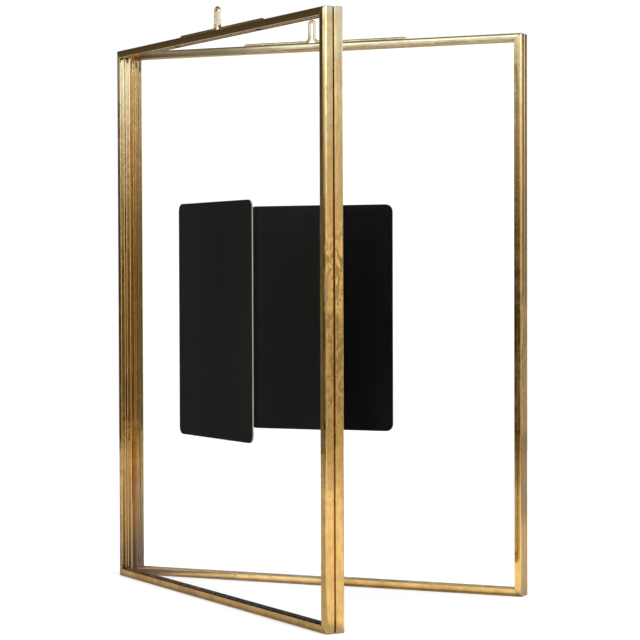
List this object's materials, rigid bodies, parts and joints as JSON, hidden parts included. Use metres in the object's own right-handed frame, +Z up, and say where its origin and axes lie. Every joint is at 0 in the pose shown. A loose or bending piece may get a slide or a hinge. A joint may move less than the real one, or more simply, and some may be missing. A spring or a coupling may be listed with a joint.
{
  "type": "double photo frame",
  "caption": "Hinged double photo frame: glass panes in thin brass half-frames, pictures float between panes, wire hanging loops.",
  "frame": {"origin": "on the shelf, on the flat underside of the rear leaf's inner half-frame, at the middle of the leaf's width", "axes": "+X along the rear leaf from the spine to its free edge, +Y out of the rear leaf's outer face, +Z up"},
  "size_m": [0.1625, 0.1071, 0.214],
  "materials": {
    "frame_brass": "aged, polished",
    "wire_brass": "polished wire",
    "hinge_brass": "satin",
    "clear_glass": "clear, polished",
    "black_card": "matt coated board, bare",
    "dark_foam": "matt foam, sticky both sides"
  },
  "bodies": {
    "rear_leaf": {"rear_inner_top_rail": "frame_brass", "rear_inner_bottom_rail": "frame_brass", "rear_inner_hinge_stile": "frame_brass", "rear_inner_free_stile": "frame_brass", "rear_inner_pane": "clear_glass", "leaf_hinge_rear_plates": "hinge_brass", "rear_door_hinge_frame_plates": "hinge_brass", "rear_door_hinge_pins": "hinge_brass", "leaf_hinge_pins": "hinge_brass"},
    "rear_door": {"rear_door_top_rail": "frame_brass", "rear_door_bottom_rail": "frame_brass", "rear_door_hinge_stile": "frame_brass", "rear_door_free_stile": "frame_brass", "rear_door_pane": "clear_glass", "rear_door_hinge_door_plates": "hinge_brass", "rear_card": "black_card", "rear_card_pads": "dark_foam"},
    "rear_hanger": {"rear_hanger": "wire_brass"},
    "front_leaf": {"front_inner_top_rail": "frame_brass", "front_inner_bottom_rail": "frame_brass", "front_inner_hinge_stile": "frame_brass", "front_inner_free_stile": "frame_brass", "front_inner_pane": "clear_glass", "leaf_hinge_front_plates": "hinge_brass", "front_door_hinge_frame_plates": "hinge_brass", "front_door_hinge_pins": "hinge_brass", "front_card": "black_card", "front_card_pads": "dark_foam"},
    "front_door": {"front_door_top_rail": "frame_brass", "front_door_bottom_rail": "frame_brass", "front_door_hinge_stile": "frame_brass", "front_door_free_stile": "frame_brass", "front_door_pane": "clear_glass", "front_door_hinge_door_plates": "hinge_brass"},
    "front_hanger": {"front_hanger": "wire_brass"}
  },
  "joints": [
    {"name": "leaf_fold", "type": "hinge", "parent": "rear_leaf", "child": "front_leaf", "pos_m": [-0.08, -0.00193, 0], "axis": [0, 0, -1], "range_deg": [-36, 84]},
    {"name": "rear_door_hinge", "type": "hinge", "parent": "rear_leaf", "child": "rear_door", "pos_m": [-0.08, 0.00202, 0], "axis": [0, 0, 1], "range_deg": [0, 60]},
    {"name": "front_door_hinge", "type": "hinge", "parent": "front_leaf", "child": "front_door", "pos_m": [-0.08232, -0.00512, 0], "axis": [0, 0, -1], "range_deg": [0, 60]},
    {"name": "rear_hanger_lift", "type": "slide", "parent": "rear_leaf", "child": "rear_hanger", "axis": [0, 0, 1], "range_m": [0, 0.006]},
    {"name": "front_hanger_lift", "type": "slide", "parent": "front_leaf", "child": "front_hanger", "axis": [0, 0, 1], "range_m": [0, 0.006]}
  ]
}
